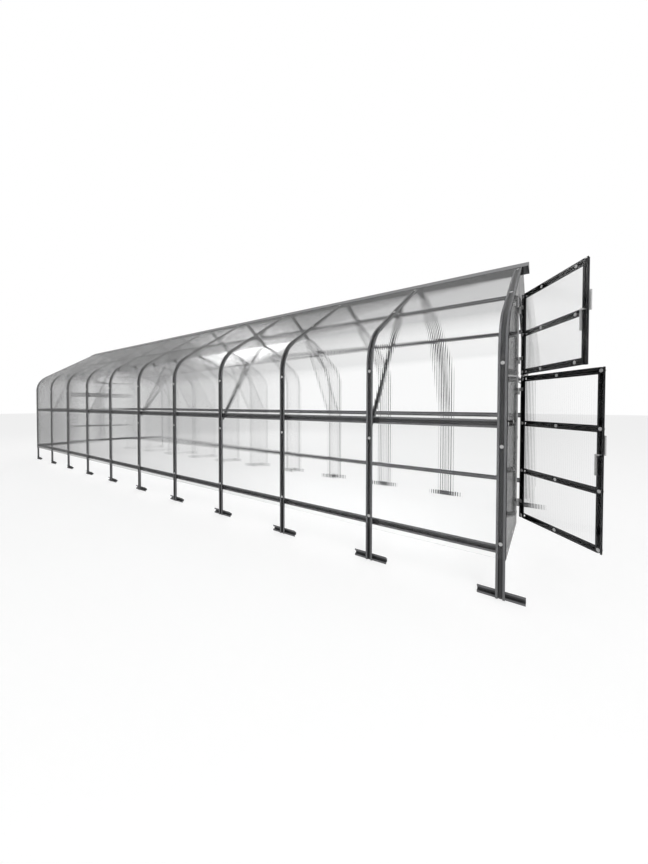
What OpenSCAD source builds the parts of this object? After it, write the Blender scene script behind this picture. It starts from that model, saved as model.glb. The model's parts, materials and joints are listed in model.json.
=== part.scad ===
// Tunnel greenhouse with upright side walls, rounded eaves and a straight-pitched roof.
// Eleven hat-section arches stand on short cross feet and carry polycarbonate sheets.
// X runs across the house, Y along it from the front door to the rear door, Z up.

/* [House] */
// Length of one bay, from arch to arch
bay = 1000; // [800:10:1200]
// Number of bays
bays = 10; // [4:2:12]
// Width over the side sheets
house_w = 2560; // [2200:10:3200]
// Height at which the side walls end and the eaves start to bend
eave_h = 1678; // [1600:1:2000]
// Outer radius of the eave bend
bend_r = 430; // [300:5:600]
// Roof pitch in degrees
pitch = 33.2; // [24:0.1:36]
// Height of the lower edge of the sheets above the soles of the feet
sheet_bottom = 290; // [200:5:350]

/* [Sections] */
// Overall width of the hat section of legs, arches, rails and posts
hat_w = 60; // [50:1:70]
// Width of the web of the hat section
hat_web = 26; // [20:1:30]
// How far each side of the hat section leans outward
hat_flare = 4; // [2:0.5:6]
// Depth of the hat section of legs, arches and posts
hat_d = 25; // [20:1:35]
// Depth of the hat section of the rails, purlins and feet
rail_d = 22; // [18:1:30]
// Thickness of the pressed steel
steel_t = 2; // [1.5:0.1:3]
// Thickness of the polycarbonate sheets
sheet_t = 4; // [4:1:6]

/* [Feet and rails] */
// Length of a cross foot
foot_len = 300; // [200:10:400]
// Height of the lower end of the legs above the soles of the feet
leg_bottom = 8; // [4:1:20]
// Height of the middle of the bottom rails
bottom_rail_z = 345; // [325:1:420]
// Height of the middle of the side rails
mid_rail_z = 1215; // [1000:5:1400]
// Distance of the roof purlins from the middle of the house
purlin_x = 750; // [600:5:800]
// Bays between two frames that have knee struts
strut_every = 2; // [1:1:3]
// Distance of the upper end of a knee strut from the middle of the house
strut_top_x = 545; // [450:5:590]
// Width of a knee strut
strut_w = 40; // [30:1:50]
// Depth of a knee strut
strut_d = 24; // [18:1:30]
// Half width of the ridge cap
cap_half = 115; // [80:5:150]
// How far the ridge cap reaches beyond the gables
cap_over = 50; // [20:5:80]
// Gap between the ridge cap and the sheets under it
cap_gap = 0.3; // [0.2:0.1:1]
// Gap between two sheets that meet along an arch
sheet_gap = 2; // [1:0.5:4]
// Number of bays under one sheet
sheet_bays = 2; // [1:1:2]

/* [Washers] */
// Radius of the washers that hold the sheets to the legs
washer_r = 13; // [10:0.5:16]
// Thickness of the washers
washer_t = 3; // [2:0.5:4]
// Heights of the washers on each leg
washer_z = [392, 1060, 1630]; // [300:2:1670]

/* [Doors and vents] */
// Width of a door leaf and of the vent leaf over it
leaf_w = 760; // [600:10:900]
// Height of the lower edge of the door leaf
door_bottom = 345; // [335:1:420]
// Height of the upper edge of the door leaf
door_top = 1600; // [1500:5:1650]
// Heights of the middle rails of the door leaf
door_rails = [765, 1185]; // [400:5:1580]
// Height of the upper edge of the vent leaf
vent_top = 2320; // [2200:5:2330]
// Height of the middle rail of the vent leaf
vent_rail = 1968; // [1900:1:2050]
// Gap between the door leaf and the vent leaf
leaf_gap = 14; // [8:1:20]
// Gap between a leaf and the posts beside it
post_gap = 10; // [8:1:15]
// Width of the bars of a leaf frame
bar_w = 48; // [30:1:55]
// Width of the web of the bars of a leaf frame
bar_web = 18; // [12:1:20]
// Depth of the bars of a leaf frame
bar_d = 20; // [15:1:22]
// How far the front door stands open, in degrees
door_open = 138; // [0:0.5:165]
// How far the front vent stands open, in degrees
vent_open = 147.5; // [0:0.5:165]

/* [Hinges and latches] */
// Radius of a hinge knuckle
knuckle_r = 6; // [5:0.5:8]
// Radius of a hinge pin
pin_r = 3; // [2:0.5:4]
// Play around a hinge pin
pin_play = 0.3; // [0.2:0.05:0.5]
// Length of a hinge, both knuckles together
hinge_len = 60; // [40:2:80]
// Distance of the hinges from the ends of a leaf
hinge_inset = 130; // [90:5:160]
// Distance of the hinge line in front of the gable sheets
hinge_out = 6; // [5:0.5:10]
// Height of the spindle of a door latch
door_latch_z = 1010; // [900:5:1100]
// Height of the spindle of a vent latch above the middle rail of the vent
vent_latch_up = 14; // [0:1:40]
// Side of the square bar of a latch
latch_bar = 10; // [8:1:12]
// Radius of the spindle of a latch
spindle_r = 4; // [3:0.5:5]
// Play around the spindle of a latch
spindle_play = 0.3; // [0.2:0.05:0.5]
// Length of the handle of a latch
latch_handle = 140; // [100:5:160]
// Length of the arm of a latch
latch_arm = 130; // [100:5:150]
// Step sideways from the spindle of a latch to its handle
latch_step = 16; // [12:1:20]

/* [Hidden] */
$fn = 96;

// Colours of the finishes
graphite = "#606267";
leaf_black = "#2b2c2f";
clear_sheet = "#dfe6ea";
bright_zinc = "#b9bcc0";

// Plain sizes that follow from the ones above
length = bays * bay;
half_w = house_w / 2;
frame_x = half_w - sheet_t;
web_x = frame_x - hat_d;
rail_x = web_x - rail_d;
eave_turn = 90 - pitch;
bend_x = half_w - bend_r;
end_y = hat_w / 2;
gable_face = end_y + sheet_t;
post_x = leaf_w / 2 + post_gap + hat_w / 2;
post_edge = post_x + hat_w / 2;
vent_bottom = door_top + leaf_gap;
lintel_z = (door_top + vent_bottom) / 2;
hinge_x = leaf_w / 2 + post_gap;
hinge_y = gable_face + hinge_out;
hinge_strap = 3;
hinge_reach = 35;
knuckle_gap = 0.5;
latch_clear = 6;
handle_clear = 7;
strut_foot_z = mid_rail_z - hat_w / 2;
latch_front = gable_face + handle_clear + latch_bar / 2;
latch_back = hat_d - end_y + latch_clear;
far = 4000;

// The origin lies on the ground in the middle of the whole object, the open front door included
latch_reach = leaf_w + post_gap - bar_w / 2 + latch_bar / 2;
front_reach = hinge_y + latch_reach * sin(door_open) - (hinge_y + latch_back + latch_bar) * cos(door_open);
front_y = (front_reach - length - foot_len / 2) / 2;

// Hat section with its flanges on the line y = 0 and its web d below it
module hat(w = hat_w, web = hat_web, flare = hat_flare, d = hat_d, t = steel_t) {
    mouth = web / 2 + flare;
    polygon([
        [-w / 2, 0], [-w / 2, -t], [-mouth, -t], [-web / 2, -d], [web / 2, -d], [mouth, -t],
        [w / 2, -t], [w / 2, 0], [mouth - t, 0], [web / 2 - t, t - d], [t - web / 2, t - d], [t - mouth, 0]
    ]);
}

// Everything under the outer line of the house, drawn inward by inset, as seen from the front
module house_outline(inset = 0) {
    w = half_w - inset;
    r = bend_r - inset;
    top_x = bend_x + r * cos(eave_turn);
    top_z = eave_h + r * sin(eave_turn);
    polygon([
        [-w, 0], [w, 0], [w, eave_h], [top_x, top_z], [0, ridge_z(inset)], [-top_x, top_z], [-w, eave_h]
    ]);
    for (side = [-1, 1])
        translate([side * bend_x, eave_h]) circle(r = r);
}

// Height of the ridge of the outline drawn inward by inset
function ridge_z(inset) = eave_h + (bend_r - inset + cos(eave_turn) * bend_x) / sin(eave_turn);

// Height of the same outline at the distance x from the middle, over the straight part of the roof
function roof_z(x, inset) = ridge_z(inset) - x * tan(pitch);

// Turns an outline drawn in X and Z into a slab from y0 to y1
module slab_xz(y0, y1) {
    translate([0, y1, 0]) rotate([90, 0, 0]) linear_extrude(y1 - y0) children();
}

// Repeats a left-hand piece at the given arches
module at_arches(list) {
    for (k = list) translate([0, k * bay, 0]) children();
}

// Mirrors a left-hand piece to the given side, -1 left or 1 right
module to_side(side) {
    if (side > 0) mirror([1, 0, 0]) children();
    else children();
}

// Mirrors a front piece to the given end, 0 front or 1 rear
module to_end(end) {
    if (end > 0) translate([0, length, 0]) mirror([0, 1, 0]) children();
    else children();
}

// Puts the front arch at its place along the house
module placed() {
    translate([0, front_y, 0]) children();
}

// Legs, arches and feet
module legs(side) {
    color(graphite) to_side(side) at_arches([0 : bays])
        translate([-frame_x, 0, leg_bottom]) rotate([0, 0, 90])
            linear_extrude(eave_h - leg_bottom) hat();
}

module arches(side) {
    color(graphite) to_side(side) at_arches([0 : bays]) {
        translate([-bend_x, 0, eave_h]) rotate([0, 0, 180]) rotate([90, 0, 0])
            rotate_extrude(angle = eave_turn)
                translate([bend_r - sheet_t, 0]) rotate([0, 0, -90]) hat();
        intersection() {
            translate([-bend_x, 0, eave_h]) rotate([0, -pitch, 0])
                translate([0, 0, bend_r - sheet_t]) rotate([90, 0, 90])
                    linear_extrude(house_w) hat();
            translate([-far, -far, 0]) cube([far, 2 * far, far]);
        }
    }
}

module feet(side) {
    color(graphite) to_side(side) at_arches([0 : bays])
        translate([-web_x, foot_len / 2, hat_w / 2]) rotate([90, 0, 0]) rotate([0, 0, 90])
            linear_extrude(foot_len) hat(d = rail_d);
}

// Straight bars along the house
module long_bar() {
    translate([0, length + end_y, 0]) rotate([90, 0, 0]) rotate([0, 0, 90])
        linear_extrude(length + 2 * end_y) hat(d = rail_d);
}

module side_rail(side, z) {
    color(graphite) to_side(side) translate([-web_x, 0, z]) long_bar();
}

module roof_purlin(side) {
    color(graphite) to_side(side)
        translate([-purlin_x, 0, roof_z(purlin_x, sheet_t + hat_d)]) rotate([0, 90 - pitch, 0]) long_bar();
}

// Knee struts from the side rail to the roof part of the arch, open towards the wall
module knee_struts(side) {
    top_z = roof_z(strut_top_x, sheet_t + hat_d);
    run = rail_x - strut_top_x;
    lean = atan2(top_z - strut_foot_z, run);
    color(graphite) to_side(side) at_arches([for (k = [1 : strut_every : bays - 1]) k])
        intersection() {
            translate([-rail_x, 0, strut_foot_z]) rotate([0, -lean, 0])
                rotate([90, 0, 90]) linear_extrude(far, center = true)
                    translate([0, strut_d / 2]) hat(w = strut_w, web = strut_w / 2, d = strut_d);
            slab_xz(-strut_w, strut_w) intersection() {
                house_outline(sheet_t + hat_d);
                translate([-rail_x, 0]) square([2 * rail_x, far]);
            }
        }
}

// Bent strip over the ridge, with both ends closed by a plate
module ridge_cap() {
    y0 = -gable_face - cap_over;
    y1 = length + gable_face + cap_over;
    apex = ridge_z(0) + cap_gap / cos(pitch);
    drop = cap_half * tan(pitch);
    rise = steel_t / cos(pitch);
    color(graphite) {
        slab_xz(y0, y1) polygon([
            [-cap_half, apex - drop], [0, apex], [cap_half, apex - drop],
            [cap_half, apex - drop + rise], [0, apex + rise], [-cap_half, apex - drop + rise]
        ]);
        for (y = [y0, y1 - steel_t])
            slab_xz(y, y + steel_t) polygon([[-cap_half, apex - drop], [0, apex], [cap_half, apex - drop]]);
    }
}

// Places a sheet strip at each group of bays, with the sheet's length as $sheet_len
module along_sheets() {
    count = bays / sheet_bays;
    pitch_y = (length + 2 * end_y + sheet_gap) / count;
    $sheet_len = pitch_y - sheet_gap;
    for (k = [0 : count - 1]) translate([0, k * pitch_y - end_y, 0]) children();
}

module wall_sheets(side) {
    color(clear_sheet, 0.4) to_side(side) along_sheets()
        translate([-half_w, 0, sheet_bottom]) cube([sheet_t, $sheet_len, eave_h - sheet_bottom]);
}

module eave_sheets(side) {
    color(clear_sheet, 0.4) to_side(side) along_sheets()
        translate([-bend_x, 0, eave_h]) rotate([0, 0, 180]) rotate([90, 0, 0])
            rotate_extrude(angle = eave_turn) translate([bend_r - sheet_t, 0])
                square([sheet_t, $sheet_len]);
}

module roof_sheets(side) {
    color(clear_sheet, 0.4) to_side(side) along_sheets() intersection() {
        translate([-bend_x, 0, eave_h]) rotate([0, -pitch, 0])
            translate([0, 0, bend_r - sheet_t]) cube([house_w, $sheet_len, sheet_t]);
        translate([-far, -far, 0]) cube([far - sheet_gap / 2, 2 * far, far]);
    }
}

// Round washers on the sheets, over the middle of each leg
module washers(side) {
    color(bright_zinc) to_side(side) at_arches([0 : bays]) for (z = washer_z)
        translate([-half_w, 0, z]) rotate([0, -90, 0]) cylinder(r = washer_r, h = washer_t);
}

// Front gable: posts, rails and sheets, with the flanges of its bars on the end plane of the arch
module gable_bar(len, d = hat_d) {
    linear_extrude(len) rotate([0, 0, 180]) hat(d = d);
}

module door_posts(end) {
    color(graphite) to_end(end) intersection() {
        for (side = [-1, 1])
            translate([side * post_x, -end_y, bottom_rail_z - hat_w / 2]) gable_bar(far);
        slab_xz(-far, far) house_outline(sheet_t + hat_d);
    }
}

module gable_rails(end) {
    color(graphite) to_end(end) {
        for (side = [0, 1], z = [bottom_rail_z, mid_rail_z]) mirror([side, 0, 0])
            translate([-rail_x, -end_y, z]) rotate([0, 90, 0]) gable_bar(rail_x - post_edge);
        translate([-post_edge, hat_d - end_y, lintel_z]) rotate([0, 90, 0])
            gable_bar(2 * post_edge, rail_d);
    }
}

module gable_sheets(end) {
    color(clear_sheet, 0.4) to_end(end) slab_xz(-gable_face, -end_y) {
        for (side = [0, 1]) mirror([side, 0]) intersection() {
            house_outline();
            translate([-half_w, sheet_bottom]) square([half_w - post_x, far]);
        }
        intersection() {
            house_outline();
            translate([sheet_gap - post_x, vent_top + post_gap]) square([2 * (post_x - sheet_gap), far]);
        }
    }
}

// A leaf is drawn closed in the front gable and swung open about its hinge line
module swing(angle) {
    translate([-hinge_x, -hinge_y, 0]) rotate([0, 0, -angle]) translate([hinge_x, hinge_y, 0]) children();
}

module leaf_frame(z0, z1, rails) {
    half = leaf_w / 2;
    inner = leaf_w - 2 * bar_w;
    color(leaf_black) translate([0, -end_y, 0]) {
        for (side = [-1, 1])
            translate([side * (half - bar_w / 2), 0, z0]) linear_extrude(z1 - z0) leaf_bar();
        for (z = concat([z0 + bar_w / 2], rails, [z1 - bar_w / 2]))
            translate([-inner / 2, 0, z]) rotate([0, 90, 0]) linear_extrude(inner) leaf_bar();
    }
}

module leaf_bar() {
    rotate([0, 0, 180]) hat(w = bar_w, web = bar_web, d = bar_d);
}

module leaf_panel(z0, z1) {
    color(clear_sheet, 0.4) translate([-leaf_w / 2, -gable_face, z0]) cube([leaf_w, sheet_t, z1 - z0]);
}

// Heights of the lower ends of the hinges of a leaf
function hinge_heights(z0, z1) = [z0 + hinge_inset - hinge_len / 2, z1 - hinge_inset - hinge_len / 2];

// Upper knuckle of each hinge, with the strap on the leaf
module leaf_hinges(z0, z1) {
    knuckle = hinge_len / 2 - knuckle_gap;
    color(bright_zinc) for (z = hinge_heights(z0, z1)) translate([0, 0, z + hinge_len / 2 + knuckle_gap])
        difference() {
            union() {
                translate([-hinge_x, -hinge_y, 0]) cylinder(r = knuckle_r, h = knuckle);
                translate([-hinge_x + knuckle_r / 2, -gable_face - hinge_strap, 0])
                    cube([hinge_reach, hinge_strap, knuckle]);
            }
            translate([-hinge_x, -hinge_y, 0]) cylinder(r = pin_r + pin_play, h = far, center = true);
        }
}

// Lower knuckle of each hinge with its pin, and the strap on the post
module post_hinges(z0, z1) {
    knuckle = hinge_len / 2 - knuckle_gap;
    color(bright_zinc) for (z = hinge_heights(z0, z1)) translate([0, 0, z]) {
        translate([-hinge_x, -hinge_y, 0]) cylinder(r = knuckle_r, h = knuckle);
        translate([-hinge_x, -hinge_y, 0]) cylinder(r = pin_r, h = hinge_len);
        translate([-hinge_x - hinge_reach, -gable_face - hinge_strap, 0])
            cube([hinge_reach - knuckle_r / 2, hinge_strap, knuckle]);
    }
}

// Cranked turning latch: handle down in front of the leaf, spindle, arm up behind it
module latch(z) {
    half = latch_bar / 2;
    color(bright_zinc) translate([leaf_w / 2 - bar_w / 2, 0, z]) {
        translate([0, latch_back, 0]) rotate([90, 0, 0])
            cylinder(r = spindle_r, h = latch_back + latch_front);
        translate([-latch_step - half, -latch_front - half, -half])
            cube([latch_step + latch_bar, latch_bar, latch_bar]);
        translate([-latch_step - half, -latch_front - half, -latch_handle])
            cube([latch_bar, latch_bar, latch_handle]);
        translate([-half, latch_back, -half]) cube([latch_bar, latch_bar, latch_arm + half]);
    }
}

module spindle_hole(z) {
    translate([leaf_w / 2 - bar_w / 2, 0, z]) rotate([90, 0, 0])
        cylinder(r = spindle_r + spindle_play, h = far, center = true);
}

// Open angles of the leaves at the front and rear end
door_angle = [door_open, 0];
vent_angle = [vent_open, 0];
vent_latch_z = vent_rail + vent_latch_up;

module door_frame(end) {
    color(leaf_black) to_end(end) swing(door_angle[end]) difference() {
        leaf_frame(door_bottom, door_top, door_rails);
        spindle_hole(door_latch_z);
    }
}

module door_panel(end) {
    color(clear_sheet, 0.4) to_end(end) swing(door_angle[end]) difference() {
        leaf_panel(door_bottom, door_top);
        spindle_hole(door_latch_z);
    }
}

module door_hinges(end) {
    to_end(end) swing(door_angle[end]) leaf_hinges(door_bottom, door_top);
}

module door_latch(end) {
    to_end(end) swing(door_angle[end]) latch(door_latch_z);
}

module vent_frame(end) {
    color(leaf_black) to_end(end) swing(vent_angle[end]) difference() {
        leaf_frame(vent_bottom, vent_top, [vent_rail]);
        spindle_hole(vent_latch_z);
    }
}

module vent_panel(end) {
    color(clear_sheet, 0.4) to_end(end) swing(vent_angle[end]) difference() {
        leaf_panel(vent_bottom, vent_top);
        spindle_hole(vent_latch_z);
    }
}

module vent_hinges(end) {
    to_end(end) swing(vent_angle[end]) leaf_hinges(vent_bottom, vent_top);
}

module vent_latch(end) {
    to_end(end) swing(vent_angle[end]) latch(vent_latch_z);
}

module hinge_pins(end) {
    to_end(end) {
        post_hinges(door_bottom, door_top);
        post_hinges(vent_bottom, vent_top);
    }
}

placed() legs(-1);  // left_legs
placed() legs(1);  // right_legs
placed() arches(-1);  // left_arches
placed() arches(1);  // right_arches
placed() feet(-1);  // left_feet
placed() feet(1);  // right_feet
placed() side_rail(-1, bottom_rail_z);  // left_bottom_rail
placed() side_rail(-1, mid_rail_z);  // left_mid_rail
placed() roof_purlin(-1);  // left_roof_purlin
placed() side_rail(1, bottom_rail_z);  // right_bottom_rail
placed() side_rail(1, mid_rail_z);  // right_mid_rail
placed() roof_purlin(1);  // right_roof_purlin
placed() knee_struts(-1);  // left_knee_struts
placed() knee_struts(1);  // right_knee_struts
placed() ridge_cap();
placed() wall_sheets(-1);  // left_wall_sheets
placed() eave_sheets(-1);  // left_eave_sheets
placed() roof_sheets(-1);  // left_roof_sheets
placed() wall_sheets(1);  // right_wall_sheets
placed() eave_sheets(1);  // right_eave_sheets
placed() roof_sheets(1);  // right_roof_sheets
placed() washers(-1);  // left_washers
placed() washers(1);  // right_washers
placed() door_posts(0);  // front_door_posts
placed() gable_rails(0);  // front_gable_rails
placed() gable_sheets(0);  // front_gable_sheets
placed() door_posts(1);  // rear_door_posts
placed() gable_rails(1);  // rear_gable_rails
placed() gable_sheets(1);  // rear_gable_sheets
placed() door_frame(0);  // front_door_frame
placed() door_panel(0);  // front_door_panel
placed() door_hinges(0);  // front_door_hinges
placed() door_latch(0);  // front_door_latch
placed() vent_frame(0);  // front_vent_frame
placed() vent_panel(0);  // front_vent_panel
placed() vent_hinges(0);  // front_vent_hinges
placed() vent_latch(0);  // front_vent_latch
placed() door_frame(1);  // rear_door_frame
placed() door_panel(1);  // rear_door_panel
placed() door_hinges(1);  // rear_door_hinges
placed() door_latch(1);  // rear_door_latch
placed() vent_frame(1);  // rear_vent_frame
placed() vent_panel(1);  // rear_vent_panel
placed() vent_hinges(1);  // rear_vent_hinges
placed() vent_latch(1);  // rear_vent_latch
placed() hinge_pins(0);  // front_hinge_pins
placed() hinge_pins(1);  // rear_hinge_pins
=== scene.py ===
import json
import math
import bpy
import numpy as np
from mathutils import Matrix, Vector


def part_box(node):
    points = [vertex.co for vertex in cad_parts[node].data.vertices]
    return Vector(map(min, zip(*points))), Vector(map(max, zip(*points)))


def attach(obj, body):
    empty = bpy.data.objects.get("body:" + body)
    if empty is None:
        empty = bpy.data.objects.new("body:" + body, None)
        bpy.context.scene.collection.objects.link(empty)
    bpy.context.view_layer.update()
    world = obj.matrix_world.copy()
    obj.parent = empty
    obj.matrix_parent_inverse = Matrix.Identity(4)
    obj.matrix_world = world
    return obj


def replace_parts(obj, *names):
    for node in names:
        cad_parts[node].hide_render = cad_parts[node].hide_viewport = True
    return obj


# Polycarbonate greenhouse: fluted sheets, washers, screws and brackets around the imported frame,
# with procedural finishes. Metres; X across the house, Y along it from the front door, Z up.

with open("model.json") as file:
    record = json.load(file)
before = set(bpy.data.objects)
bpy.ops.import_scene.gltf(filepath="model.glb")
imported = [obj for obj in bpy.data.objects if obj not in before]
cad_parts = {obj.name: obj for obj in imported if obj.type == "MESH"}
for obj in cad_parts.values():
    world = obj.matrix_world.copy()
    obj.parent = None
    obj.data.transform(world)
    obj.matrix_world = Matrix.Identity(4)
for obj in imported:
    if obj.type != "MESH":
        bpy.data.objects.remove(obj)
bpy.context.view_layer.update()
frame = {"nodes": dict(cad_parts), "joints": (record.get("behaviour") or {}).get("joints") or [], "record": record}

# ---------------------------------------------------------------- places, read from the frame

BAYS = 10
PITCH = math.radians(33.2)
EAVE_TURN = math.pi / 2 - PITCH
# hat section of the arches and legs over its brims, its depth, and the depth of the rails
HAT_W = 0.060
HAT_D = 0.025
RAIL_D = 0.022
# sheet thickness, the gap between two sheets, and the sheets on a long side
SHEET = 0.004
SHEET_GAP = 0.002
SHEETS_A_SIDE = 5
# how far the front leaves stand open, their width, and the bars of their frames
DOOR_OPEN = math.radians(138.0)
VENT_OPEN = math.radians(147.5)
LEAF_W = 0.760
BAR_W = 0.048
BAR_D = 0.020

wall_low, wall_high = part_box("right_wall_sheets")
eave_low, eave_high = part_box("right_eave_sheets")
roof_low, roof_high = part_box("right_roof_sheets")
leg_low, leg_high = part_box("right_legs")
gable_low, gable_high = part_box("front_gable_sheets")
rear_low, rear_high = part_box("rear_gable_sheets")
HALF_W = wall_high.x
SHEET_FOOT = wall_low.z
EAVE_Z = wall_high.z
BEND_R = (eave_high.z - EAVE_Z) / math.sin(EAVE_TURN)
BEND_X = HALF_W - BEND_R
RIDGE_Z = roof_high.z + SHEET_GAP / 2 * math.tan(PITCH)
FIRST_ARCH = leg_low.y + HAT_W / 2
LAST_ARCH = leg_high.y - HAT_W / 2
BAY = (LAST_ARCH - FIRST_ARCH) / BAYS
ARCHES = FIRST_ARCH + BAY * np.arange(BAYS + 1)
FRAME_X = HALF_W - SHEET
WEB_X = FRAME_X - HAT_D
MID_RAIL_Z = sum(c.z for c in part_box("right_mid_rail")) / 2
BOTTOM_RAIL_Z = sum(c.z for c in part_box("right_bottom_rail")) / 2
PURLIN_X = 0.750
POST_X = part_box("front_door_posts")[1].x - HAT_W / 2
VENT_TOP_GAP = 0.010
DOOR_LOW, DOOR_HIGH = (c.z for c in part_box("front_door_panel"))
VENT_LOW, VENT_HIGH = (c.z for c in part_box("front_vent_panel"))
DOOR_RAILS = (0.765, 1.185)
VENT_RAIL = 1.968
HINGE = {j["name"]: np.array(j["pos_m"]) for j in frame["joints"]}["front_door_hinge"]

# ---------------------------------------------------------------- mesh tools


def build(name, vertices, faces, material, body, slot, smooth=True, crease=35.0):
    """Makes one piece from an array of points and a list of arrays of quads or triangles."""
    mesh = bpy.data.meshes.new(name)
    loops = np.concatenate([f.ravel() for f in faces]).astype(np.int32)
    sizes = np.concatenate([np.full(len(f), f.shape[1]) for f in faces])
    mesh.vertices.add(len(vertices))
    mesh.vertices.foreach_set("co", np.asarray(vertices, np.float32).ravel())
    mesh.loops.add(len(loops))
    mesh.loops.foreach_set("vertex_index", loops)
    mesh.polygons.add(len(sizes))
    mesh.polygons.foreach_set("loop_start", np.concatenate([[0], np.cumsum(sizes)[:-1]]).astype(np.int32))
    mesh.update(calc_edges=True)
    mesh.validate()
    mesh.polygons.foreach_set("use_smooth", np.full(len(sizes), smooth))
    if smooth:
        mesh.set_sharp_from_angle(angle=math.radians(crease))
    mesh.materials.append(material)
    piece = bpy.data.objects.new(name, mesh)
    bpy.context.scene.collection.objects.link(piece)
    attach(piece, body)
    return piece


def grid_faces(rows, columns, start=0, wrap=False):
    """Quads between neighbours in a grid stored row by row; wrap joins the last column to the first."""
    i, j = np.meshgrid(np.arange(rows - 1), np.arange(columns if wrap else columns - 1), indexing="ij")
    k = (j + 1) % columns
    quads = np.stack([i * columns + j, i * columns + k, (i + 1) * columns + k, (i + 1) * columns + j], -1)
    return quads.reshape(-1, 4) + start


def volume(vertices, faces):
    """Signed volume inside a closed mesh: each face is a fan, and each triangle a sixth of a box product."""
    total = 0.0
    for f in faces:
        for k in range(1, f.shape[1] - 1):
            a, b, c = vertices[f[:, 0]], vertices[f[:, k]], vertices[f[:, k + 1]]
            total += np.einsum("ij,ij->i", a, np.cross(b, c)).sum() / 6
    return total


def outward(vertices, faces):
    """The same closed mesh with its faces turned outward."""
    return faces if volume(vertices, faces) > 0 else [f[:, ::-1] for f in faces]


def shell(outer, inner):
    """A closed plate between two grids of the same size: both skins and the four edges between them."""
    rows, columns = outer.shape[:2]
    count = rows * columns
    vertices = np.concatenate([outer.reshape(-1, 3), inner.reshape(-1, 3)])
    index = np.arange(count).reshape(rows, columns)
    rim = np.concatenate([index[0, :-1], index[:-1, -1], index[-1, :0:-1], index[:0:-1, 0]])
    after = np.roll(rim, -1)
    edge = np.stack([rim, rim + count, after + count, after], -1)
    faces = [grid_faces(rows, columns), grid_faces(rows, columns, count)[:, ::-1], edge]
    return vertices, outward(vertices, faces)


def turned(profile, sides):
    """A closed turned piece: the profile's points (radius, height) go round Z; both ends meet on the axis."""
    profile = np.asarray(profile, float)
    turn = np.arange(sides) * 2 * math.pi / sides
    ring = profile[1:-1]
    points = np.stack([
        ring[:, :1] * np.cos(turn), ring[:, :1] * np.sin(turn), np.repeat(ring[:, 1:], sides, 1)
    ], -1).reshape(-1, 3)
    ends = [[0, 0, profile[0, 1]], [0, 0, profile[-1, 1]]]
    vertices = np.concatenate([points, ends])
    low, high = len(points), len(points) + 1
    first = np.arange(sides)
    last = first + len(points) - sides
    caps = np.concatenate([
        np.stack([np.roll(first, -1), first, np.full(sides, low)], -1),
        np.stack([last, np.roll(last, -1), np.full(sides, high)], -1),
    ])
    faces = [grid_faces(len(ring), sides, wrap=True), caps]
    return vertices, outward(vertices, faces)


def drawn(outline, length):
    """A straight bar: a closed outline in X and Y, carried from Z = 0 to the given length, with flat ends."""
    outline = np.asarray(outline, float)
    count = len(outline)
    low = np.concatenate([outline, np.zeros((count, 1))], 1)
    vertices = np.concatenate([low, low + [0, 0, length]])
    ends = np.stack([np.arange(count), np.arange(count) + count])
    faces = [grid_faces(2, count, wrap=True), ends[:1, ::-1], ends[1:]]
    return vertices, outward(vertices, faces)


def frames(normals, ups):
    """For each pair, the turn whose third axis is the normal and whose second leans towards up."""
    normals = np.atleast_2d(normals).astype(float)
    ups = np.broadcast_to(np.atleast_2d(ups).astype(float), normals.shape)
    side = np.cross(ups, normals)
    side /= np.linalg.norm(side, axis=1, keepdims=True)
    return np.stack([side, np.cross(normals, side), normals], -1)


def repeated(piece, places, turns):
    """Copies of a small mesh, each turned and then moved, joined into one mesh."""
    vertices, faces = piece
    places = np.atleast_2d(places)
    turns = np.broadcast_to(turns, (len(places), 3, 3))
    points = np.einsum("nij,vj->nvi", turns, vertices) + places[:, None, :]
    step = np.arange(len(places))[:, None, None] * len(vertices)
    return points.reshape(-1, 3), [(f[None] + step).reshape(-1, f.shape[1]) for f in faces]


def joined(*meshes):
    """Several closed meshes as one."""
    vertices, faces, start = [], [], 0
    for points, polygons in meshes:
        vertices.append(points)
        faces += [f + start for f in polygons]
        start += len(points)
    return np.concatenate(vertices), faces


# ---------------------------------------------------------------- shader tools


class Wire:
    """A node's output socket. Arithmetic on it adds Math nodes."""

    def __init__(self, socket):
        self.socket = socket

    def math(self, operation, *values):
        """A Math node of this operation on the given values or wires."""
        node = add(self.socket.id_data, "ShaderNodeMath", {"operation": operation}, dict(enumerate(values)))
        return Wire(node.outputs[0])

    def __add__(self, other):
        return self.math("ADD", self, other)

    def __sub__(self, other):
        return self.math("SUBTRACT", self, other)

    def __rsub__(self, other):
        return self.math("SUBTRACT", other, self)

    def __mul__(self, other):
        return self.math("MULTIPLY", self, other)

    def __pow__(self, other):
        return self.math("POWER", self, other)

    __radd__ = __add__
    __rmul__ = __mul__


def add(tree, kind, settings=None, inputs=None):
    """Adds a node, sets its settings (a ramp's stops as pairs), then its inputs from values or wires."""
    node = tree.nodes.new(kind)
    for name, value in (settings or {}).items():
        if name == "stops":
            ramp = node.color_ramp.elements
            while len(ramp) < len(value):
                ramp.new(1.0)
            for element, (position, shade) in zip(ramp, value):
                element.position = position
                element.color = shade
        else:
            setattr(node, name, value)
    for name, value in (inputs or {}).items():
        if isinstance(value, Wire):
            tree.links.new(value.socket, node.inputs[name])
        else:
            node.inputs[name].default_value = value
    return node


def wire(tree, kind, settings=None, inputs=None, output=0):
    """Adds a node and gives one of its outputs."""
    return Wire(add(tree, kind, settings, inputs).outputs[output])


def new_material(name):
    """An empty node material and its tree."""
    material = bpy.data.materials.new(name)
    material.use_nodes = True
    material.node_tree.nodes.clear()
    return material, material.node_tree


def finish_with(tree, shader):
    """Puts the shader on the surface."""
    add(tree, "ShaderNodeOutputMaterial", None, {"Surface": shader})


def grey(value, warm=0.0):
    """A near-neutral colour; warm lifts red and lowers blue by that share."""
    return (value * (1 + warm), value, value * (1 - warm), 1.0)


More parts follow.
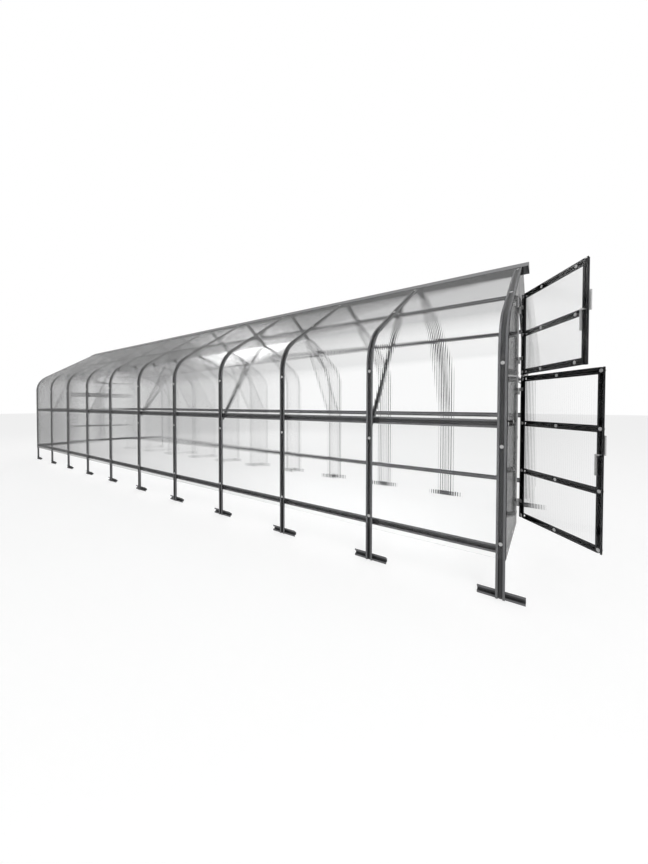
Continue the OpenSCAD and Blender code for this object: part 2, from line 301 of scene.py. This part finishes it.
def place(tree, scale=(1, 1, 1)):
    """Object coordinates, stretched by scale."""
    spot = wire(tree, "ShaderNodeTexCoord", output="Object")
    return wire(tree, "ShaderNodeMapping", None, {"Vector": spot, "Scale": scale})


def noise(tree, vector, scale, detail=2.0, rough=0.5):
    """Soft noise from 0 to 1, scale being its lumps to a metre."""
    return wire(tree, "ShaderNodeTexNoise", None,
                {"Vector": vector, "Scale": scale, "Detail": detail, "Roughness": rough})


def mixed(tree, factor, first, second):
    """Two colours mixed by a factor."""
    node = add(tree, "ShaderNodeMix", {"data_type": "RGBA"})
    for socket, value in ((0, factor), (6, first), (7, second)):
        if isinstance(value, Wire):
            tree.links.new(value.socket, node.inputs[socket])
        else:
            node.inputs[socket].default_value = value
    return Wire(node.outputs[2])


def bump(tree, height, distance, strength=0.5):
    """Surface relief from a height, distance in metres."""
    return wire(tree, "ShaderNodeBump", None,
                {"Height": height, "Distance": distance, "Strength": strength})


# ---------------------------------------------------------------- finishes


def coated_steel(name, dark, light, rough):
    """Coated steel: cloudy tone, fine grain in the coat, faint rolling lines, rubbed specks and painted shade in
    grooves and recesses.
    """
    material, tree = new_material(name)
    spot = place(tree)
    cloud = noise(tree, spot, 3.0, 4.0)
    grain = noise(tree, spot, 900.0, 2.0)
    lines = noise(tree, place(tree, (240.0, 3.0, 240.0)), 1.0, 3.0)
    specks = noise(tree, spot, 130.0, 3.0, 0.7)
    stops = [(0.66, grey(0.0)), (0.78, grey(1.0))]
    rubbed = wire(tree, "ShaderNodeValToRGB", {"stops": stops}, {"Fac": specks})
    tone = mixed(tree, cloud * 0.8 + lines * 0.1 + 0.05, dark, light)
    tone = mixed(tree, rubbed * 0.10, tone, tuple(min(1.0, c * 1.8) for c in light[:3]) + (1.0,))
    # Painted shade: ambient occlusion darkens the colour towards 0.12 of the dark tone in grooves, recesses and
    # corners.
    painted_shade_mask = wire(tree, "ShaderNodeAmbientOcclusion", {"samples": 8, "only_local": True},
                    {"Distance": 0.04}, "AO")
    tone = mixed(tree, painted_shade_mask ** 2.2, tuple(c * 0.12 for c in dark[:3]) + (1.0,), tone)
    shader = add(tree, "ShaderNodeBsdfPrincipled", None, {
        "Base Color": tone,
        "Metallic": 0.15,
        "Roughness": cloud * 0.16 + grain * 0.10 + (rough - 0.13),
        "Normal": bump(tree, grain * 0.8 + lines * 0.2, 0.00012, 0.5),
    })
    finish_with(tree, Wire(shader.outputs[0]))
    return material


def bright_zinc():
    """Galvanised steel: crystals of slightly different grey, brushed along, with a soft shine."""
    material, tree = new_material("bright_zinc")
    spot = place(tree)
    crystals = wire(tree, "ShaderNodeTexVoronoi", None,
                    {"Vector": spot, "Scale": 260.0, "Randomness": 1.0}, "Color")
    tone = wire(tree, "ShaderNodeSeparateColor", None, {"Color": crystals})
    brush = noise(tree, place(tree, (900.0, 900.0, 60.0)), 1.0, 2.0)
    shader = add(tree, "ShaderNodeBsdfPrincipled", None, {
        "Base Color": mixed(tree, tone * 0.7 + brush * 0.3, grey(0.40), grey(0.60)),
        "Metallic": 0.55,
        "Roughness": tone * 0.12 + brush * 0.10 + 0.30,
        "Normal": bump(tree, brush, 0.0001, 0.4),
    })
    finish_with(tree, Wire(shader.outputs[0]))
    return material


def clear_sheet():
    """Clear polycarbonate: bends and mirrors light, goes greyer edge-on, and lets the lamps through."""
    material, tree = new_material("clear_sheet")
    slant = wire(tree, "ShaderNodeLayerWeight", None, {"Blend": 0.5}, "Facing")
    haze = noise(tree, place(tree), 6.0, 3.0)
    grey_in = wire(tree, "ShaderNodeMapRange", {"interpolation_type": "LINEAR", "clamp": True}, {
        "Value": slant, "From Min": 0.22, "From Max": 0.85, "To Min": 0.0, "To Max": 0.50
    })
    tint = mixed(tree, grey_in, (0.997, 0.998, 0.998, 1.0), (0.10, 0.10, 0.105, 1.0))
    through = wire(tree, "ShaderNodeBsdfRefraction", None, {"Color": tint, "Roughness": 0.0, "IOR": 1.45})
    mirror = wire(tree, "ShaderNodeBsdfGlossy", None,
                  {"Color": grey(0.50), "Roughness": haze * 0.05 + 0.02})
    fresnel = wire(tree, "ShaderNodeFresnel", None, {"IOR": 1.28})
    pane = wire(tree, "ShaderNodeMixShader", None, {0: fresnel, 1: through, 2: mirror})
    clear = wire(tree, "ShaderNodeBsdfTransparent", None, {"Color": (0.93, 0.94, 0.94, 1.0)})
    shadow = wire(tree, "ShaderNodeLightPath", output="Is Shadow Ray")
    finish_with(tree, wire(tree, "ShaderNodeMixShader", None, {0: shadow, 1: pane, 2: clear}))
    return material


GRAPHITE = coated_steel("graphite_steel", (0.110, 0.111, 0.115, 1), (0.165, 0.166, 0.171, 1), 0.46)
LEAF_BLACK = coated_steel("leaf_black", (0.008, 0.008, 0.010, 1), (0.022, 0.022, 0.026, 1), 0.42)
DARK_PLATE = coated_steel("dark_plate", (0.004, 0.004, 0.005, 1), (0.010, 0.010, 0.011, 1), 0.55)
ZINC = bright_zinc()
CLEAR = clear_sheet()

FINISH = {"graphite_steel": GRAPHITE, "dark_frame": LEAF_BLACK, "zinc": ZINC, "polycarbonate": CLEAR}
for part in frame["record"]["subparts"]:
    node = frame["nodes"][part["node"]]
    node.data.materials.clear()
    node.data.materials.append(FINISH[part["material_slot"]])

# ---------------------------------------------------------------- fluted sheets

FLUTE = 0.0165
FLUTE_DEPTH = 0.00032
FLUTE_STEPS = 4
BEND_STEPS = 10


def flutes(positions):
    """Depth below the sheet's face at each position: 0 on the ridge of a flute, FLUTE_DEPTH between two."""
    return FLUTE_DEPTH / 2 * (1 - np.cos(2 * math.pi * positions / FLUTE))


def flute_columns(start, end):
    """Positions from start to end, FLUTE_STEPS to a flute."""
    return np.linspace(start, end, FLUTE_STEPS * round((end - start) / FLUTE) + 1)


def wall_path():
    """Points (x, z) up the right wall, round the eave and up to the ridge, with their outward normals."""
    turn = np.linspace(0, EAVE_TURN, BEND_STEPS + 1)
    bend = np.stack([BEND_X + BEND_R * np.cos(turn), EAVE_Z + BEND_R * np.sin(turn)], 1)
    top = [SHEET_GAP / 2, RIDGE_Z - SHEET_GAP / 2 * math.tan(PITCH)]
    points = np.concatenate([[[HALF_W, SHEET_FOOT]], bend, [top]])
    normals = np.stack([np.cos(turn), np.sin(turn)], 1)
    return points, np.concatenate([normals[:1], normals, normals[-1:]])


def side_sheets(side, name):
    """Five bent sheets side by side: the wall path carried along Y, both faces fluted across it."""
    points, normals = wall_path()
    points, normals = points * [side, 1], normals * [side, 1]
    span = (wall_high.y - wall_low.y + SHEET_GAP) / SHEETS_A_SIDE
    sheets = []
    for k in range(SHEETS_A_SIDE):
        start = wall_low.y + k * span
        along = flute_columns(start, start + span - SHEET_GAP)
        depth = flutes(along - start)
        faces = []
        for sink in (depth, SHEET - depth):
            xz = points[None] - normals[None] * sink[:, None, None]
            y = np.broadcast_to(along[:, None], xz.shape[:2])
            faces.append(np.stack([xz[..., 0], y, xz[..., 1]], -1))
        sheets.append(shell(*faces))
    word = "right" if side > 0 else "left"
    piece = build(name, *joined(*sheets), CLEAR, "house", "polycarbonate")
    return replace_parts(piece, word + "_wall_sheets", word + "_eave_sheets", word + "_roof_sheets")


def outline_z(x):
    """Height of the outer line of the house at the distance x from the middle: straight roof, then bend."""
    x = np.abs(x)
    bend = EAVE_Z + np.sqrt(np.clip(BEND_R ** 2 - (x - BEND_X) ** 2, 0, None))
    straight = RIDGE_Z - x * math.tan(PITCH)
    return np.where(x > BEND_X + BEND_R * math.cos(EAVE_TURN), bend, straight)


def upright_pane(across, low, high, y_outer, y_inner):
    """A flat sheet in the plane of a gable: straight flutes from low to high, both faces fluted across X."""
    depth = flutes(across - across[0]) * np.sign(y_inner - y_outer)
    z = np.stack([np.broadcast_to(low, across.shape), np.broadcast_to(high, across.shape)], 1)
    x = np.repeat(across[:, None], 2, 1)
    faces = [np.stack([x, np.repeat(y[:, None], 2, 1), z], -1) for y in (y_outer + depth, y_inner - depth)]
    return shell(*faces)


def gable_panes(end, y_outer, y_inner):
    """Two side sheets under the outline of the house and the sheet over the vent."""
    beside = flute_columns(POST_X, HALF_W)
    top_half = POST_X - SHEET_GAP
    over = flute_columns(-top_half, top_half)
    panes = [
        upright_pane(beside, SHEET_FOOT, outline_z(beside), y_outer, y_inner),
        upright_pane(-beside, SHEET_FOOT, outline_z(beside), y_outer, y_inner),
        upright_pane(over, VENT_HIGH + VENT_TOP_GAP, outline_z(over), y_outer, y_inner),
    ]
    piece = build(end + "_gable_panes", *joined(*panes), CLEAR, "house", "polycarbonate")
    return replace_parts(piece, end + "_gable_sheets")


def swung(vertices, angle):
    """A leaf drawn closed in the front gable, turned open about the hinge line by the angle."""
    c, s = math.cos(-angle), math.sin(-angle)
    turn = np.array([[c, -s, 0], [s, c, 0], [0, 0, 1]])
    axis = HINGE * [1, 1, 0]
    return (vertices - axis) @ turn.T + axis


def to_rear(mesh):
    """A piece of the front gable, mirrored to the rear one and turned outward again."""
    vertices, faces = mesh
    middle = (FIRST_ARCH + LAST_ARCH) / 2
    vertices = vertices * [1, -1, 1] + [0, 2 * middle, 0]
    return vertices, outward(vertices, faces)


def leaf_piece(end, angle, mesh):
    """Puts a piece drawn on a closed front leaf where the leaf stands at that end."""
    if end == "rear":
        return to_rear(mesh)
    return swung(mesh[0], angle), mesh[1]


LEAVES = {
    "door": (DOOR_LOW, DOOR_HIGH, DOOR_RAILS, DOOR_OPEN),
    "vent": (VENT_LOW, VENT_HIGH, (VENT_RAIL,), VENT_OPEN),
}
FRONT_FACE = gable_low.y


def leaf_body(end, leaf):
    """The body a leaf rides on: a door on its own, a vent leaf on the house."""
    return end + "_door" if leaf == "door" else "house"


def leaf_pane(end, leaf):
    """The fluted sheet over the whole width and height of a leaf."""
    low, high, rails, angle = LEAVES[leaf]
    across = flute_columns(-LEAF_W / 2, LEAF_W / 2)
    mesh = upright_pane(across, low, high, FRONT_FACE, FRONT_FACE + SHEET)
    mesh = leaf_piece(end, angle, mesh)
    piece = build(f"{end}_{leaf}_pane", *mesh, CLEAR, leaf_body(end, leaf), "polycarbonate")
    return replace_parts(piece, f"{end}_{leaf}_panel")


side_sheets(-1, "left_fluted_sheets")
side_sheets(1, "right_fluted_sheets")
gable_panes("front", gable_low.y, gable_high.y)
gable_panes("rear", rear_high.y, rear_low.y)
for end in ("front", "rear"):
    for leaf in LEAVES:
        leaf_pane(end, leaf)

# ---------------------------------------------------------------- washers, screws and brackets

WASHER_R = 0.013
WASHER_T = 0.003
HEAD_R = 0.0052
WASHER_Z = (0.392, 1.060, 1.630)
ROOF_WASHERS = (0.16, PURLIN_X)
POST_WASHERS_ABOVE = (2.05, 2.30)
CORNER_WASHER_IN = 0.02
POST_WASHER_OUT = 0.012
GABLE_BAR_X = 0.84
GABLE_BAR_TOP = 2.13
PEAK_WASHER_Z = 2.58
VENT_WASHERS = (-0.103, 0.273)
INNER_WASHER = (0.0115, 0.0028)
BRACKET = {"deep": 0.022, "along": 0.048, "wall": 0.003, "height": 0.042}
BOLT_OFFSETS = (-0.009, 0.009)


def washer(radius=WASHER_R, thick=WASHER_T):
    """Domed washer with a low screw head: a quarter-round shoulder with the head in the middle."""
    dome = [(radius * (1 - 0.16 * (1 - math.cos(a))), thick * 0.72 * math.sin(a))
            for a in np.linspace(0, math.pi / 2, 4)]
    head = [(HEAD_R * 1.25, thick * 0.66), (HEAD_R, thick * 0.72), (HEAD_R * 0.9, thick),
            (HEAD_R * 0.35, thick)]
    socket = [(HEAD_R * 0.30, thick * 0.80), (0, thick * 0.80)]
    return turned([(0, 0)] + dome + head + socket, 20)


def hex_bolt(radius=0.0055, height=0.004):
    """Hexagon bolt head on a thin round washer, standing on Z = 0."""
    rim, flat, low = radius * 1.7, height * 0.22, height * 0.2
    disc = turned([(0, 0), (rim, 0), (rim, flat), (0, flat)], 18)
    head = turned([(0, low), (radius, low), (radius, height * 0.86), (radius * 0.8, height), (0, height)], 6)
    return joined(disc, head)


def wall_washers(side, word):
    """Washers at each height of WASHER_Z on every leg."""
    places = np.array([[side * HALF_W, y, z] for y in ARCHES for z in WASHER_Z])
    mesh = repeated(washer(), places, frames([side, 0, 0], [0, 0, 1]))
    piece = build(word + "_wall_washers", *mesh, ZINC, "house", "zinc")
    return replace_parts(piece, word + "_washers")


def roof_washers(side, word):
    """Washers on every roof bar, near the ridge and at the purlin, standing on the slope."""
    normal = [side * math.sin(PITCH), 0, math.cos(PITCH)]
    places = np.array([[side * x, y, RIDGE_Z - x * math.tan(PITCH)] for y in ARCHES for x in ROOF_WASHERS])
    mesh = repeated(washer(), places, frames(normal, [0, 1, 0]))
    build(word + "_roof_washers", *mesh, ZINC, "house", "zinc")


def gable_washers(end):
    """Washers down both door posts, at the rails' height near the corner legs, and over the vent."""
    rails = (BOTTOM_RAIL_Z, MID_RAIL_Z)
    spots = [(s * (POST_X + POST_WASHER_OUT), z) for s in (-1, 1) for z in WASHER_Z + POST_WASHERS_ABOVE]
    spots += [(s * (WEB_X - CORNER_WASHER_IN), z) for s in (-1, 1) for z in rails]
    spots += [(s * GABLE_BAR_X, z) for s in (-1, 1) for z in rails + (GABLE_BAR_TOP,)]
    spots += [(0.0, PEAK_WASHER_Z), (0.0, VENT_HIGH + 0.03)]
    places = np.array([[x, FRONT_FACE, z] for x, z in spots])
    mesh = repeated(washer(), places, frames([0, -1, 0], [0, 0, 1]))
    mesh = to_rear(mesh) if end == "rear" else mesh
    build(end + "_gable_washers", *mesh, ZINC, "house", "zinc")


def leaf_washers(end, leaf):
    """Washers on both faces of a leaf: along each rail, at the hinge stile and at two places beyond it."""
    low, high, rails, angle = LEAVES[leaf]
    edge = LEAF_W / 2 - BAR_W / 2
    levels = (low + BAR_W / 2,) + rails + (high - BAR_W / 2,)
    across = (-edge, 0.0, edge) if leaf == "door" else (-edge,) + VENT_WASHERS
    spots = np.array([[x, 0, z] for z in levels for x in across])
    outside = repeated(washer(), spots + [0, FRONT_FACE, 0], frames([0, -1, 0], [0, 0, 1]))
    back = spots + [0, FRONT_FACE + SHEET + BAR_D, 0]
    inside = repeated(washer(*INNER_WASHER), back, frames([0, 1, 0], [0, 0, 1]))
    mesh = leaf_piece(end, angle, joined(outside, inside))
    build(f"{end}_{leaf}_washers", *mesh, ZINC, leaf_body(end, leaf), "zinc")


def rail_brackets(side, word):
    """A short dark angle beside each leg, in the corner between the leg and the rail behind it."""
    deep, along, wall = BRACKET["deep"], BRACKET["along"], BRACKET["wall"]
    outline = np.array([(0, 0), (deep, 0), (deep, -wall), (wall, -wall), (wall, -along), (0, -along)])
    angle = drawn(outline * [side, 1], BRACKET["height"])
    places = np.array([
        [side * WEB_X, y - HAT_W / 2, z - BRACKET["height"] / 2]
        for y in ARCHES[1:] for z in (BOTTOM_RAIL_Z, MID_RAIL_Z)
    ])
    mesh = repeated(angle, places, np.eye(3))
    build(word + "_rail_brackets", *mesh, DARK_PLATE, "house", "graphite_steel", smooth=False)


for side, word in ((-1, "left"), (1, "right")):
    wall_washers(side, word)
    roof_washers(side, word)
    rail_brackets(side, word)
for end in ("front", "rear"):
    gable_washers(end)
    for leaf in LEAVES:
        leaf_washers(end, leaf)


def frame_bolts(side, word):
    """Pairs of bolt heads inside, where the rails cross the legs."""
    places = np.array([
        [side * (WEB_X - RAIL_D), y + d, z]
        for y in ARCHES for z in (BOTTOM_RAIL_Z, MID_RAIL_Z) for d in BOLT_OFFSETS
    ])
    mesh = repeated(hex_bolt(), places, frames([-side, 0, 0], [0, 0, 1]))
    build(word + "_frame_bolts", *mesh, ZINC, "house", "zinc")


for side, word in ((-1, "left"), (1, "right")):
    frame_bolts(side, word)

# ---------------------------------------------------------------- floor, light and camera

FLOOR_REACH = 60.0
FLOOR_GLOW = 1.22
FLOOR_GLOW_SHARE = 0.55


def stage_floor():
    """A level floor far past the house, near white in the open and a little darker where it is shaded."""
    corners = [(x * FLOOR_REACH, y * FLOOR_REACH, 0) for x, y in ((-1, -1), (1, -1), (1, 1), (-1, 1))]
    mesh = bpy.data.meshes.new("floor")
    mesh.from_pydata(corners, [], [(0, 1, 2, 3)])
    material, tree = new_material("floor")
    paint = wire(tree, "ShaderNodeBsdfDiffuse", None, {"Color": grey(0.80)})
    glow = wire(tree, "ShaderNodeEmission", None, {"Color": grey(1.0), "Strength": FLOOR_GLOW})
    seen = sees_background(tree)
    blend = wire(tree, "ShaderNodeMixShader", None, {0: seen * FLOOR_GLOW_SHARE, 1: paint, 2: glow})
    finish_with(tree, blend)
    mesh.materials.append(material)
    floor = bpy.data.objects.new("floor", mesh)
    bpy.context.scene.collection.objects.link(floor)


def sees_background(tree):
    """1 for rays from the camera, off glossy surfaces and through clear ones, else 0."""
    path = add(tree, "ShaderNodeLightPath")
    rays = ("Is Camera Ray", "Is Glossy Ray", "Is Transmission Ray")
    camera, glossy, through = (Wire(path.outputs[ray]) for ray in rays)
    return camera.math("MAXIMUM", camera.math("MAXIMUM", camera, glossy), through)


def studio_world():
    """White where it is seen, and a plain soft light level for the object."""
    world = bpy.data.worlds.new("studio")
    bpy.context.scene.world = world
    world.use_nodes = True
    tree = world.node_tree
    tree.nodes.clear()
    light = wire(tree, "ShaderNodeBackground", None, {"Color": grey(1.0), "Strength": 0.55})
    white = wire(tree, "ShaderNodeBackground", None, {"Color": grey(1.0), "Strength": 1.0})
    blend = wire(tree, "ShaderNodeMixShader", None, {0: sees_background(tree), 1: light, 2: white})
    add(tree, "ShaderNodeOutputWorld", None, {"Surface": blend})


def soft_lamp(name, place_at, aim, size, power):
    """A round lamp facing its aim, unseen in reflections."""
    lamp = bpy.data.lights.new(name, "AREA")
    lamp.shape = "DISK"
    lamp.size = size
    lamp.energy = power
    holder = bpy.data.objects.new(name, lamp)
    holder.visible_glossy = False
    forward = np.array(aim, float) - place_at
    turn = frames(-forward / np.linalg.norm(forward), [0, 0, 1])[0]
    holder.matrix_world = Matrix.Translation(place_at) @ Matrix(turn).to_4x4()
    bpy.context.scene.collection.objects.link(holder)


def view_camera():
    """Eye level outside the front left corner, looking down the left wall."""
    heading, tilt, roll = (math.radians(a) for a in (55.215, -1.037, 0.129))
    eye = np.array([-3.771, FIRST_ARCH - 0.260, 1.339])
    ahead = np.array([math.sin(heading) * math.cos(tilt), math.cos(heading) * math.cos(tilt), math.sin(tilt)])
    right = np.array([math.cos(heading), -math.sin(heading), 0])
    up = np.cross(right, ahead)
    turn = np.stack([
        right * math.cos(roll) + up * math.sin(roll), up * math.cos(roll) - right * math.sin(roll), -ahead
    ], 1)
    camera = bpy.data.cameras.new("camera")
    camera.sensor_fit = "HORIZONTAL"
    camera.sensor_width = 36.0
    camera.lens = 17.98
    camera.shift_y = -0.0321
    camera.clip_end = 200.0
    holder = bpy.data.objects.new("camera", camera)
    holder.matrix_world = Matrix.Translation(eye) @ Matrix(turn).to_4x4()
    bpy.context.scene.collection.objects.link(holder)
    bpy.context.scene.camera = holder


stage_floor()
studio_world()
soft_lamp("key", np.array([-6.0, FIRST_ARCH - 4.0, 7.0]), [0, FIRST_ARCH + 3.0, 1.0], 5.0, 420.0)
soft_lamp("fill", np.array([6.0, LAST_ARCH + 2.0, 6.0]), [0, 0, 1.0], 5.0, 220.0)
view_camera()
bpy.context.scene.view_settings.view_transform = "Standard"
